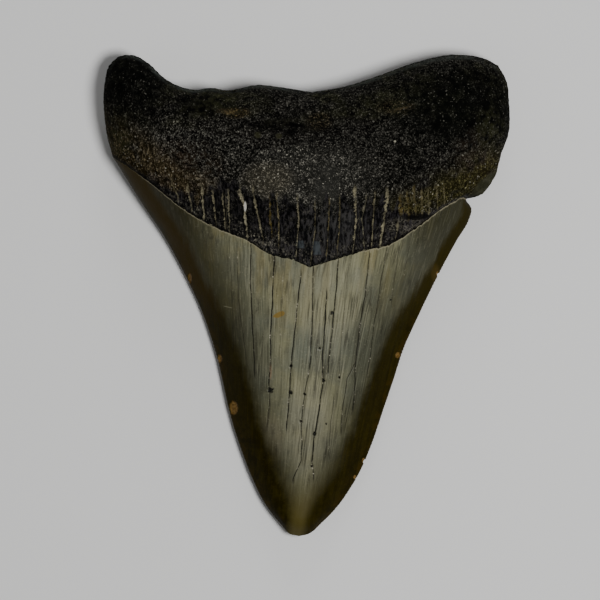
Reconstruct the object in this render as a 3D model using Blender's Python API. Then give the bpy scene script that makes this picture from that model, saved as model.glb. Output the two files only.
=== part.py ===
"""Fossil megalodon tooth, lying on its labial (outer) face with the lingual (inner) face up.

The tooth is one solid. Its crown points to -Y, its root to +Y, and it rests on a small worn
flat at Z = 0, under its middle. Two faces are lofted between unlike sections, from the lens
section of the blade to the thick round section of the root, and they meet along the cutting
edges of the crown and round the rim of the root.
"""

import bmesh
import bpy
import numpy as np
from mathutils import Vector, noise

MM = 0.001

# The outline seen from above, in millimetres. The finished tooth is shifted a little from here, so
# that the origin is under the middle of its box.
TIP_LEFT = [(-5.6, -58.2), (-4.4, -59.4), (-1.9, -60.1)]
TIP_RIGHT = [(-1.9, -60.1), (0.6, -59.5), (2.0, -58.6)]
CROWN_LEFT = [
    (-5.6, -58.2), (-9.9, -52.8), (-13.5, -45.8), (-16.6, -37.8), (-19.3, -29.0), (-21.3, -20.0),
    (-23.4, -12.0), (-26.2, -3.8), (-30.4, 5.2), (-35.2, 14.2), (-41.0, 22.9), (-48.4, 34.7),
]
CROWN_RIGHT = [
    (2.0, -58.6), (7.7, -52.8), (12.4, -45.8), (16.1, -37.8), (19.1, -29.0), (21.8, -21.0),
    (24.6, -12.6), (28.6, -3.8), (33.0, 5.2), (37.8, 14.2), (40.6, 18.8), (41.4, 21.6), (41.4, 24.2),
]
ROOT_LEFT = [(-48.4, 34.7), (-49.6, 39.2), (-50.5, 45.5), (-50.6, 51.0), (-49.6, 57.2)]
ROOT_RIGHT = [
    (41.4, 24.2), (43.4, 25.0), (45.3, 27.0), (47.2, 30.0), (48.6, 35.2),
    (50.4, 40.4), (50.5, 49.0), (50.0, 53.4), (47.9, 57.5),
]
ROOT_TOP_LEFT = [
    (-49.6, 57.2), (-47.0, 59.6), (-43.4, 60.1), (-39.4, 58.0), (-35.4, 54.3), (-27.2, 51.4),
    (-24.0, 51.9), (-20.2, 51.3), (-12.5, 52.6), (-4.6, 51.8), (1.4, 50.8),
]
ROOT_TOP_RIGHT = [
    (1.4, 50.8), (9.3, 52.2), (17.3, 54.7), (27.3, 58.3), (36.8, 60.2), (44.4, 59.2), (47.9, 57.5),
]

# Where the crown's enamel ends, from the left shoulder to the right one. On the lingual face it
# dips to a point in the middle.
LINGUAL_ENAMEL_LEFT = [
    (-48.4, 34.7), (-43.7, 31.6), (-37.4, 27.0), (-31.0, 21.8), (-22.6, 17.0), (-14.5, 13.6),
    (-9.3, 10.4), (-4.0, 9.1), (0.8, 7.1),
]
LINGUAL_ENAMEL_RIGHT = [
    (0.8, 7.1), (7.0, 9.0), (14.5, 11.3), (20.4, 12.7), (28.2, 17.6), (35.4, 22.8), (39.0, 24.5),
    (41.4, 24.2),
]
LABIAL_ENAMEL_LEFT = [(-48.4, 34.7), (-38.0, 31.2), (-18.0, 25.0), (1.2, 22.4)]
LABIAL_ENAMEL_RIGHT = [(1.2, 22.4), (16.0, 23.2), (30.0, 24.6), (41.4, 24.2)]

# The nick in the outline at the right shoulder, where a flake is lost.
NICK_AT = (41.6, 24.2)
NICK_REACH = 1.5
NICK_DEPTH = 1.5

# Sections across the tooth, one to a line, all in millimetres but the last three. The rim is
# where the two faces meet. Rise is from the rim to the lingual crest and drop from the rim to the
# labial face. Fullness keeps a face level before it falls, and roundness goes from 1 at a blade
# to 0.5 at a rounded side.
SECTION_Y, SECTION_RIM, SECTION_RISE, SECTION_DROP, FULLNESS, ROUNDNESS = np.transpose([
    (-62.0, 3.8, 3.2, 1.5, 1.9, 1.00),
    (-54.0, 3.3, 4.6, 1.8, 1.9, 1.00),
    (-40.0, 2.8, 7.8, 2.0, 1.9, 1.00),
    (-20.0, 2.5, 11.3, 2.2, 1.9, 1.00),
    (0.0, 2.6, 14.2, 2.65, 1.9, 0.98),
    (12.0, 3.1, 16.4, 3.35, 2.0, 0.92),
    (24.0, 4.0, 19.8, 4.3, 2.1, 0.74),
    (33.0, 5.2, 20.9, 5.25, 2.2, 0.60),
    (42.0, 6.4, 19.6, 5.9, 2.3, 0.52),
    (52.0, 7.4, 17.0, 5.9, 2.4, 0.50),
    (62.0, 7.8, 15.4, 5.6, 2.4, 0.50),
])
LABIAL_FULLNESS = 1.5

# The swelling across the middle of the root, and the hollow between it and the far rim.
TORUS_AT = (3.0, 32.0)
TORUS_REACH = (17.0, 8.5)
TORUS_HEIGHT = 2.2
HOLLOW_AT = (-4.0, 44.0)
HOLLOW_REACH = (24.0, 5.0)
HOLLOW_DEPTH = 2.2

# The sunken band of bare dentine above the lingual enamel, widest in the middle.
BAND_LENGTH = 15.0
BAND_DEPTH = 0.7
BAND_FADE = 3.0
BAND_TAPER = 1.5

# The broad lumps of the root's bony surface, on both faces, with finer ones half as high on them.
LUMP_SIZE = 8.0
LUMP_HEIGHT = 0.9
FINE_LUMP_SIZE = 3.8
LABIAL_LUMP_SHARE = 0.25
LUMP_START = 0.25

# Where the root turns over at its far rim, and where the tip closes, as shares of their faces.
ROOT_CLOSING_POWER = 4.5
TIP_CLOSING_SHARE = 0.07

# Facets: columns across each face, crowded towards its edges, and rows along the crown, crowded
# towards the tip, and along the root, crowded towards the far rim. One more row just above the
# enamel line makes the ledge there sharp.
COLUMNS = 40
CROWN_ROWS = 34
ROOT_ROWS = 23
LEDGE_ROW = 0.012
EDGE_CROWDING = np.radians(77)
TIP_CROWDING = 1.15
CURVE_STEPS = 600
SIDE_HOLD = 3
SHARP_ANGLE = np.radians(50)

FOSSIL_COLOUR = (0.075, 0.072, 0.052, 1.0)
FOSSIL_ROUGHNESS = 0.45


def curve_value(knots, values, at):
    """A smooth curve through the values at the knots, read at any places."""
    knots, values, at = (np.asarray(a, float) for a in (knots, values, at))
    slopes = np.gradient(values, knots, axis=0)
    i = np.clip(np.searchsorted(knots, at, side="right") - 1, 0, len(knots) - 2)
    span = knots[i + 1] - knots[i]
    t = (at - knots[i]) / span
    if values.ndim > 1:
        t, span = t[..., None], span[..., None]
    return (
        (2 * t**3 - 3 * t**2 + 1) * values[i]
        + (t**3 - 2 * t**2 + t) * span * slopes[i]
        + (3 * t**2 - 2 * t**3) * values[i + 1]
        + (t**3 - t**2) * span * slopes[i + 1]
    )


def along(points, shares):
    """Points at the given shares of the length of a smooth line through the points."""
    points = np.asarray(points, float)
    chords = np.linalg.norm(np.diff(points, axis=0), axis=1)
    knots = np.concatenate([[0], np.cumsum(chords)])
    fine = curve_value(knots, points, np.linspace(0, knots[-1], CURVE_STEPS))
    length = np.concatenate([[0], np.cumsum(np.linalg.norm(np.diff(fine, axis=0), axis=1))])
    wanted = np.asarray(shares, float) * length[-1]
    return np.stack([np.interp(wanted, length, fine[:, k]) for k in range(2)], axis=-1)


def across(left, right, side):
    """Points on a line in two halves. Side runs from -1 at its left end to 1 at its right end."""
    side = np.asarray(side, float)
    on_left = along(left, np.clip(1 + side, 0, 1))
    on_right = along(right, np.clip(side, 0, 1))
    return np.where((side < 0)[..., None], on_left, on_right)


def patch(low, high, left, right, side, rise):
    """The place in the outline at each column (side) and row (rise), between four edge lines.

    Rows run straight from the low line to the high one, and bend to the left and right lines only
    near them, so that a nick in a side doesn't fold the rows behind it.
    """
    a = ((side + 1) / 2)[:, None, None]
    r = rise[None, :, None]
    ruled = (1 - r) * low[:, None, :] + r * high[:, None, :]
    to_left = (1 - a) ** SIDE_HOLD * (left - ruled[:1])
    to_right = a**SIDE_HOLD * (right - ruled[-1:])
    return ruled + to_left + to_right


def face_places(enamel_left, enamel_right, side, crown_rise, root_rise):
    """Places of one face's grid, and how far along the crown and the root each row lies."""
    enamel = across(enamel_left, enamel_right, side)
    crown = patch(
        across(TIP_LEFT, TIP_RIGHT, side),
        enamel,
        along(CROWN_LEFT, crown_rise),
        along(CROWN_RIGHT, crown_rise),
        side,
        crown_rise,
    )
    root = patch(
        enamel,
        across(ROOT_TOP_LEFT, ROOT_TOP_RIGHT, side),
        along(ROOT_LEFT, root_rise),
        along(ROOT_RIGHT, root_rise),
        side,
        root_rise,
    )
    places = np.concatenate([crown, root[:, 1:]], axis=1)
    nick = swelling(places[..., 0], places[..., 1], NICK_AT, (NICK_REACH, NICK_REACH))
    places[..., 0] -= NICK_DEPTH * nick
    up_crown = np.concatenate([crown_rise, np.ones(len(root_rise) - 1)])
    up_root = np.concatenate([np.zeros(len(crown_rise)), root_rise[1:]])
    return places, up_crown, up_root


def swelling(x, y, middle, reach):
    """A soft rise of height 1 at the middle, fading over the reach along X and Y."""
    return np.exp(-(((x - middle[0]) / reach[0]) ** 2) - ((y - middle[1]) / reach[1]) ** 2)


def lumps(x, y, up_root):
    """Low uneven lumps on the root, growing from nothing at the enamel line."""
    rough = np.zeros(x.shape)
    for size, share in ((LUMP_SIZE, 1.0), (FINE_LUMP_SIZE, 0.5)):
        places = np.stack([x, y, np.full(x.shape, size)], axis=-1).reshape(-1, 3) / size
        rough += share * np.reshape([noise.noise(Vector(place)) for place in places], x.shape)
    return rough * np.clip(up_root / LUMP_START, 0, 1)


def band(x, y, up_root, side):
    """1 on the smooth band between the lingual enamel and the rough root, 0 off it."""
    enamel_y = across(LINGUAL_ENAMEL_LEFT, LINGUAL_ENAMEL_RIGHT, side[:, 0])[:, 1][:, None]
    height = BAND_LENGTH * (1 - np.abs(side) ** BAND_TAPER)
    inside = np.clip((height - (y - enamel_y)) / BAND_FADE, 0, 1) * (up_root > 0)
    return inside * np.clip(height / BAND_FADE, 0, 1)


def heights(places, side, up_crown, up_root, lingual):
    """Height above the table of each point of one face."""
    x, y = places[..., 0], places[..., 1]
    side = np.broadcast_to(side[:, None], x.shape)
    rim = curve_value(SECTION_Y, SECTION_RIM, y)
    tip = 1 - (1 - np.clip(up_crown / TIP_CLOSING_SHARE, 0, 1)) ** 2
    far_rim = np.sqrt(1 - up_root**ROOT_CLOSING_POWER)
    closing = (tip * far_rim)[None, :]
    fullness = curve_value(SECTION_Y, FULLNESS, y) * (1 if lingual else LABIAL_FULLNESS)
    roundness = curve_value(SECTION_Y, ROUNDNESS, y)
    section = np.clip(1 - np.abs(side) ** fullness, 0, 1) ** roundness * closing
    lump = LUMP_HEIGHT * lumps(x, y, up_root[None, :])
    if not lingual:
        return rim - (curve_value(SECTION_Y, SECTION_DROP, y) + LABIAL_LUMP_SHARE * lump) * section
    relief = TORUS_HEIGHT * swelling(x, y, TORUS_AT, TORUS_REACH)
    relief = relief - HOLLOW_DEPTH * swelling(x, y, HOLLOW_AT, HOLLOW_REACH)
    relief = relief - BAND_DEPTH * band(x, y, up_root[None, :], side) + lump
    return rim + (curve_value(SECTION_Y, SECTION_RISE, y) + relief) * section


def add_face(mesh, places, z):
    """Adds one grid of quads to the mesh, and puts its corners where the loft says."""
    columns, rows = z.shape
    made = bmesh.ops.create_grid(mesh, x_segments=columns - 1, y_segments=rows - 1, size=1.0)
    for vertex in made["verts"]:
        i = round((vertex.co.x + 1) / 2 * (columns - 1))
        j = round((vertex.co.y + 1) / 2 * (rows - 1))
        vertex.co = Vector((*places[i, j], z[i, j])) * MM
    return {face for vertex in made["verts"] for face in vertex.link_faces}


def tooth_material():
    """Dark olive-grey fossil, between the paler enamel and the near black root."""
    material = bpy.data.materials.new("fossil")
    material.use_nodes = True
    shader = material.node_tree.nodes["Principled BSDF"]
    shader.inputs["Base Color"].default_value = FOSSIL_COLOUR
    shader.inputs["Roughness"].default_value = FOSSIL_ROUGHNESS
    shader.inputs["Metallic"].default_value = 0.0
    return material


def build_tooth(collection):
    """The whole tooth as one closed mesh."""
    side = np.sin(np.linspace(-EDGE_CROWDING, EDGE_CROWDING, COLUMNS + 1)) / np.sin(EDGE_CROWDING)
    crown_rise = np.linspace(0, 1, CROWN_ROWS + 1) ** TIP_CROWDING
    root_rise = np.insert(np.sin(np.linspace(0, np.pi / 2, ROOT_ROWS + 1)), 1, LEDGE_ROW)

    mesh = bmesh.new()
    for lingual, left, right in (
        (True, LINGUAL_ENAMEL_LEFT, LINGUAL_ENAMEL_RIGHT),
        (False, LABIAL_ENAMEL_LEFT, LABIAL_ENAMEL_RIGHT),
    ):
        places, up_crown, up_root = face_places(left, right, side, crown_rise, root_rise)
        z = heights(places, side, up_crown, up_root, lingual)
        faces = add_face(mesh, places, z)
        if not lingual:
            bmesh.ops.reverse_faces(mesh, faces=list(faces))
    bmesh.ops.remove_doubles(mesh, verts=mesh.verts, dist=0.00001)
    bmesh.ops.recalc_face_normals(mesh, faces=mesh.faces)

    # The worn flat under the middle, on which the tooth lies.
    cut = bmesh.ops.bisect_plane(
        mesh,
        geom=[*mesh.verts, *mesh.edges, *mesh.faces],
        plane_co=(0, 0, 0),
        plane_no=(0, 0, 1),
        clear_inner=True,
    )
    rim = [item for item in cut["geom_cut"] if isinstance(item, bmesh.types.BMEdge)]
    bmesh.ops.contextual_create(mesh, geom=rim)

    places = np.array([vertex.co[:2] for vertex in mesh.verts])
    middle = (places.min(axis=0) + places.max(axis=0)) / 2
    bmesh.ops.translate(mesh, verts=mesh.verts, vec=(-middle[0], -middle[1], 0))

    data = bpy.data.meshes.new("tooth")
    mesh.to_mesh(data)
    mesh.free()
    tooth = bpy.data.objects.new("tooth", data)
    collection.objects.link(tooth)
    data.materials.append(tooth_material())
    data.shade_smooth()
    data.set_sharp_from_angle(angle=SHARP_ANGLE)
    return tooth


def main():
    for thing in list(bpy.data.objects):
        bpy.data.objects.remove(thing)
    collection = bpy.data.collections.new("fossil_megalodon_tooth")
    bpy.context.scene.collection.children.link(collection)
    build_tooth(collection)


main()
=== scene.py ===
import bmesh
import bpy
import numpy as np
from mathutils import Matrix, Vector, kdtree, noise


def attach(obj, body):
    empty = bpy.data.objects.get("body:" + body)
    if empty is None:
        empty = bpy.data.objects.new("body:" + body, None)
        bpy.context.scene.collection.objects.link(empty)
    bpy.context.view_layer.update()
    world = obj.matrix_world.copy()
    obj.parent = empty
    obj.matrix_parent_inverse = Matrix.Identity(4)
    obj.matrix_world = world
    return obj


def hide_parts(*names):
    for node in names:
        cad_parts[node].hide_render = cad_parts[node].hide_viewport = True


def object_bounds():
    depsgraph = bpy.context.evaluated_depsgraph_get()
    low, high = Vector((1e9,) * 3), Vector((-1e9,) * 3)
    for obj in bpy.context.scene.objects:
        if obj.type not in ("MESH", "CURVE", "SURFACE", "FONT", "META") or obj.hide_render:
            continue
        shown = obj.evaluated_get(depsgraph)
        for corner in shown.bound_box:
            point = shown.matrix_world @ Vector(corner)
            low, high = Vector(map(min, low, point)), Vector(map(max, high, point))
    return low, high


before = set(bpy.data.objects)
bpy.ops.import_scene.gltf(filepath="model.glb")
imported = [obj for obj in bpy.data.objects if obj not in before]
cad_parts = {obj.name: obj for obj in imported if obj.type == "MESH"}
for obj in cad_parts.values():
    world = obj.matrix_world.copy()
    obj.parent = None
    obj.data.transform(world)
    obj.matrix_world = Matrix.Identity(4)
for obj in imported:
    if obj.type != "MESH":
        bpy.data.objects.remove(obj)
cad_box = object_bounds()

MM = 0.001

# The form of the tooth. It is one grown piece: a blade of enamel over dentine, drawn out from a
# root of spongy bone. It lies on its labial (outer) face, and the lingual (inner) face looks up.
# The two faces meet along the cutting edges of the crown and round the rim of the root.
TIP_LEFT = [(-5.6, -58.2), (-4.4, -59.4), (-1.9, -60.1)]
TIP_RIGHT = [(-1.9, -60.1), (0.6, -59.5), (2.0, -58.6)]
CROWN_LEFT = [
    (-5.6, -58.2), (-9.9, -52.8), (-13.5, -45.8), (-16.6, -37.8), (-19.3, -29.0), (-21.3, -20.0),
    (-23.4, -12.0), (-26.2, -3.8), (-30.4, 5.2), (-35.2, 14.2), (-41.0, 22.9), (-48.4, 34.7),
]
CROWN_RIGHT = [
    (2.0, -58.6), (7.7, -52.8), (12.4, -45.8), (16.1, -37.8), (19.1, -29.0), (21.8, -21.0),
    (24.6, -12.6), (28.6, -3.8), (33.0, 5.2), (37.8, 14.2), (40.6, 18.8), (41.4, 21.6),
    (41.4, 24.2),
]
ROOT_LEFT = [(-48.4, 34.7), (-49.6, 39.2), (-50.5, 45.5), (-50.6, 51.0), (-49.6, 57.2)]
ROOT_RIGHT = [
    (41.4, 24.2), (43.4, 25.0), (45.3, 27.0), (47.2, 30.0), (48.6, 35.2),
    (50.4, 40.4), (50.5, 49.0), (50.0, 53.4), (47.9, 57.5),
]
ROOT_TOP_LEFT = [
    (-49.6, 57.2), (-47.0, 59.6), (-43.4, 60.1), (-39.4, 58.0), (-35.4, 54.3), (-27.2, 51.4),
    (-24.0, 51.9), (-20.2, 51.3), (-12.5, 52.6), (-4.6, 51.8), (1.4, 50.8),
]
ROOT_TOP_RIGHT = [
    (1.4, 50.8), (9.3, 52.2), (17.3, 54.7), (27.3, 58.3), (36.8, 60.2), (44.4, 59.2), (47.9, 57.5),
]
LINGUAL_ENAMEL_LEFT = [
    (-48.4, 34.7), (-43.7, 31.6), (-37.4, 27.0), (-31.0, 21.8), (-22.6, 17.0), (-14.5, 13.6),
    (-9.3, 10.4), (-4.0, 9.1), (0.8, 7.1),
]
LINGUAL_ENAMEL_RIGHT = [
    (0.8, 7.1), (7.0, 9.0), (14.5, 11.3), (20.4, 12.7), (28.2, 17.6), (35.4, 22.8), (39.0, 24.5),
    (41.4, 24.2),
]
LABIAL_ENAMEL_LEFT = [(-48.4, 34.7), (-38.0, 31.2), (-18.0, 25.0), (1.2, 22.4)]
LABIAL_ENAMEL_RIGHT = [(1.2, 22.4), (16.0, 23.2), (30.0, 24.6), (41.4, 24.2)]
NICK_AT = (41.6, 24.2)
NICK_REACH = 1.5
NICK_DEPTH = 1.5

# Sections across the tooth: the rim's height, the rise to the lingual crest, the drop to the
# labial face, fullness and roundness.
SECTION_Y, SECTION_RIM, SECTION_RISE, SECTION_DROP, FULLNESS, ROUNDNESS = np.transpose([
    (-62.0, 3.8, 3.2, 1.5, 1.9, 1.00),
    (-54.0, 3.3, 4.6, 1.8, 1.9, 1.00),
    (-40.0, 2.8, 7.8, 2.0, 1.9, 1.00),
    (-20.0, 2.5, 11.3, 2.2, 1.9, 1.00),
    (0.0, 2.6, 14.2, 2.65, 1.9, 0.98),
    (12.0, 3.1, 16.4, 3.35, 2.0, 0.92),
    (24.0, 4.0, 19.8, 4.3, 2.1, 0.74),
    (33.0, 5.2, 20.9, 5.25, 2.2, 0.60),
    (42.0, 6.4, 19.6, 5.9, 2.3, 0.52),
    (52.0, 7.4, 17.0, 5.9, 2.4, 0.50),
    (62.0, 7.8, 15.4, 5.6, 2.4, 0.50),
])
LABIAL_FULLNESS = 1.5
TORUS_AT = (3.0, 32.0)
TORUS_REACH = (17.0, 8.5)
TORUS_HEIGHT = 2.2
HOLLOW_AT = (-4.0, 44.0)
HOLLOW_REACH = (24.0, 5.0)
HOLLOW_DEPTH = 2.2
BAND_LENGTH = 15.0
BAND_DEPTH = 0.7
BAND_FADE = 3.0
BAND_TAPER = 1.5
LUMP_SIZE = 8.0
LUMP_HEIGHT = 0.9
FINE_LUMP_SIZE = 3.8
LABIAL_LUMP_SHARE = 0.25
LUMP_START = 0.25
ROOT_CLOSING_POWER = 4.5
TIP_CLOSING_SHARE = 0.07
SIDE_HOLD = 3
CURVE_STEPS = 600


def curve_value(knots, values, at):
    """A smooth curve through the values at the knots, read at any places."""
    knots, values, at = (np.asarray(a, float) for a in (knots, values, at))
    slopes = np.gradient(values, knots, axis=0)
    i = np.clip(np.searchsorted(knots, at, side="right") - 1, 0, len(knots) - 2)
    span = knots[i + 1] - knots[i]
    t = (at - knots[i]) / span
    if values.ndim > 1:
        t, span = t[..., None], span[..., None]
    return (
        (2 * t**3 - 3 * t**2 + 1) * values[i]
        + (t**3 - 2 * t**2 + t) * span * slopes[i]
        + (3 * t**2 - 2 * t**3) * values[i + 1]
        + (t**3 - t**2) * span * slopes[i + 1]
    )


def along(points, shares):
    """Points at the given shares of the length of a smooth line through the points."""
    points = np.asarray(points, float)
    chords = np.linalg.norm(np.diff(points, axis=0), axis=1)
    knots = np.concatenate([[0], np.cumsum(chords)])
    fine = curve_value(knots, points, np.linspace(0, knots[-1], CURVE_STEPS))
    length = np.concatenate([[0], np.cumsum(np.linalg.norm(np.diff(fine, axis=0), axis=1))])
    wanted = np.asarray(shares, float) * length[-1]
    return np.stack([np.interp(wanted, length, fine[:, k]) for k in range(2)], axis=-1)


def across(left, right, side):
    """Points on a line in two halves. Side runs from -1 at its left end to 1 at its right end."""
    on_left = along(left, np.clip(1 + side, 0, 1))
    on_right = along(right, np.clip(side, 0, 1))
    return np.where((side < 0)[:, None], on_left, on_right)


def patch(low, high, left, right, side, rise):
    """Places between four edge lines, as in the solid: rows bend to the sides only near them."""
    a = ((side + 1) / 2)[:, None]
    r = rise[:, None]
    ends = [(1 - r) * line[1] + r * line[2] for line in (left, right)]
    ruled = (1 - r) * low + r * high
    return ruled + (1 - a) ** SIDE_HOLD * (left[0] - ends[0]) + a**SIDE_HOLD * (right[0] - ends[1])


def face_places(side, rise, lingual):
    """Places on one face. Rise is 0 at the tip, 1 at the enamel line and 2 at the far rim."""
    enamel_left = LINGUAL_ENAMEL_LEFT if lingual else LABIAL_ENAMEL_LEFT
    enamel_right = LINGUAL_ENAMEL_RIGHT if lingual else LABIAL_ENAMEL_RIGHT
    enamel = across(enamel_left, enamel_right, side)
    low_left, low_right = np.array(CROWN_LEFT[0]), np.array(CROWN_RIGHT[0])
    mid_left, mid_right = np.array(CROWN_LEFT[-1]), np.array(CROWN_RIGHT[-1])
    up = np.clip(rise, 0, 1)
    crown = patch(
        across(TIP_LEFT, TIP_RIGHT, side),
        enamel,
        (along(CROWN_LEFT, up), low_left, mid_left),
        (along(CROWN_RIGHT, up), low_right, mid_right),
        side,
        up,
    )
    up = np.clip(rise - 1, 0, 1)
    root = patch(
        enamel,
        across(ROOT_TOP_LEFT, ROOT_TOP_RIGHT, side),
        (along(ROOT_LEFT, up), mid_left, np.array(ROOT_LEFT[-1])),
        (along(ROOT_RIGHT, up), mid_right, np.array(ROOT_RIGHT[-1])),
        side,
        up,
    )
    return np.where((rise > 1)[:, None], root, crown), enamel[:, 1]


def swelling(x, y, middle, reach):
    """A soft rise of height 1 at the middle, fading over the reach along X and Y."""
    return np.exp(-(((x - middle[0]) / reach[0]) ** 2) - ((y - middle[1]) / reach[1]) ** 2)


def fade(value, start, end):
    """0 up to the start and 1 from the end, with a soft change between."""
    t = np.clip((value - start) / (end - start), 0, 1)
    return t * t * (3 - 2 * t)


def lumps(x, y, rise):
    """Low uneven lumps on the root, the same as the solid's."""
    rough = np.zeros(len(x))
    rooted = np.flatnonzero(rise > 1)
    for size, share in ((LUMP_SIZE, 1.0), (FINE_LUMP_SIZE, 0.5)):
        places = np.stack([x[rooted], y[rooted], np.full(len(rooted), size)], axis=-1) / size
        rough[rooted] += share * np.array([noise.noise(Vector(place)) for place in places])
    return rough * np.clip((rise - 1) / LUMP_START, 0, 1)


def tooth_surface(side, rise, face):
    """Where places on either face lie, in millimetres, and how far above the enamel line."""
    places = np.zeros((len(side), 3))
    above = np.zeros(len(side))
    for lingual in (True, False):
        mine = face > 0 if lingual else face <= 0
        s, r = side[mine], rise[mine]
        flat, enamel_y = face_places(s, r, lingual)
        x, y = flat.T
        x = x - NICK_DEPTH * swelling(x, y, NICK_AT, (NICK_REACH, NICK_REACH))
        rim = curve_value(SECTION_Y, SECTION_RIM, y)
        tip = 1 - (1 - np.clip(r / TIP_CLOSING_SHARE, 0, 1)) ** 2
        far_rim = np.sqrt(1 - np.clip(r - 1, 0, 1) ** ROOT_CLOSING_POWER)
        fullness = curve_value(SECTION_Y, FULLNESS, y) * (1 if lingual else LABIAL_FULLNESS)
        section = np.clip(1 - np.abs(s) ** fullness, 0, 1) ** curve_value(SECTION_Y, ROUNDNESS, y)
        section *= tip * far_rim
        lump = LUMP_HEIGHT * lumps(x, y, r)
        if lingual:
            band_height = BAND_LENGTH * (1 - np.abs(s) ** BAND_TAPER)
            band = np.clip((band_height - (y - enamel_y)) / BAND_FADE, 0, 1) * (r > 1)
            relief = TORUS_HEIGHT * swelling(x, y, TORUS_AT, TORUS_REACH)
            relief -= HOLLOW_DEPTH * swelling(x, y, HOLLOW_AT, HOLLOW_REACH)
            relief += lump - BAND_DEPTH * band * np.clip(band_height / BAND_FADE, 0, 1)
            z = rim + (curve_value(SECTION_Y, SECTION_RISE, y) + relief) * section
        else:
            drop = curve_value(SECTION_Y, SECTION_DROP, y) + LABIAL_LUMP_SHARE * lump
            z = np.maximum(rim - drop * section, 0)
        places[mine] = np.stack([x, y, z], axis=-1)
        above[mine] = np.where(r > 1, np.maximum(y - enamel_y, 0), np.minimum(y - enamel_y, 0))
    return places, above


# The lines and pits on the surface. Drying and burial cracked the enamel along its growth lines,
# and pale mineral filled the cracks of the bare band between enamel and root. Each line is given
# by points from its upper end to its lower one, in millimetres, with its width and strength.
CRACKS = [
    (0.22, 0.5, [(-17.3, 12.4), (-16.9, -1.3), (-15.0, -16.0)]),
    (0.26, 0.9, [(-13.8, 12.8), (-13.9, 2.3), (-13.4, -8.4), (-12.9, -19.0)]),
    (0.30, 1.0, [(-8.0, 9.4), (-8.4, 0.8), (-8.9, -8.9), (-9.0, -16.5), (-9.3, -21.5)]),
    (0.20, 0.6, [(-9.1, -23.4), (-9.5, -28.5), (-9.9, -32.0)]),
    (0.28, 0.95, [(-1.4, 5.0), (-2.4, -3.3), (-3.2, -11.4), (-3.9, -17.5), (-4.2, -24.0),
                  (-5.0, -32.5)]),
    (0.26, 0.85, [(1.6, 6.4), (1.4, -6.3), (0.9, -16.5), (-0.5, -24.6), (-1.4, -31.8),
                  (-1.1, -36.8), (-1.4, -41.0), (-3.4, -45.6)]),
    (0.32, 1.0, [(5.0, 0.3), (4.5, -7.4), (4.0, -14.5), (4.0, -21.6), (3.0, -29.2), (1.9, -34.8),
                 (1.4, -41.4), (1.7, -44.6)]),
    (0.30, 0.95, [(7.8, 8.4), (7.3, 1.3), (6.3, -8.9), (5.3, -18.6)]),
    (0.28, 0.8, [(15.6, 10.0), (14.4, -0.3), (13.1, -8.4), (12.2, -16.5), (11.9, -24.6),
                 (11.6, -27.8)]),
    (0.24, 0.7, [(12.2, -16.5), (10.1, -20.6), (8.8, -29.2), (8.6, -33.4)]),
    (0.24, 0.65, [(19.8, 11.6), (18.5, 3.8), (16.9, -6.3), (15.9, -14.5), (15.2, -19.1)]),
    (0.22, 0.6, [(6.8, -25.6), (6.0, -31.8), (5.5, -39.4)]),
    (0.20, 0.45, [(22.8, 11.4), (22.0, 5.0), (21.2, -1.4)]),
    (0.20, 0.35, [(-19.2, 14.0), (-18.6, 0.0), (-18.2, -12.0)]),
    (0.20, 0.35, [(10.6, 9.8), (9.6, 0.0), (8.6, -12.0), (8.0, -20.0)]),
    (0.20, 0.30, [(-5.6, 9.0), (-6.2, -4.0), (-6.8, -16.0)]),
    (0.20, 0.30, [(26.0, 14.8), (24.4, 6.0)]),
]
# Dark pits on the enamel: place and radius.
PITS = [
    (-9.0, -23.4, 0.85), (-3.9, -17.4, 0.45), (-4.0, -24.0, 0.55), (-1.4, -31.2, 0.45),
    (-0.5, -24.4, 0.4), (2.0, -34.3, 0.5), (1.3, -42.4, 0.4), (4.3, -21.0, 0.5), (3.3, -12.9, 0.4),
    (6.3, -4.2, 0.5), (8.1, -20.2, 0.3), (4.9, -31.8, 0.3), (20.9, -1.0, 0.25),
]
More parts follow.
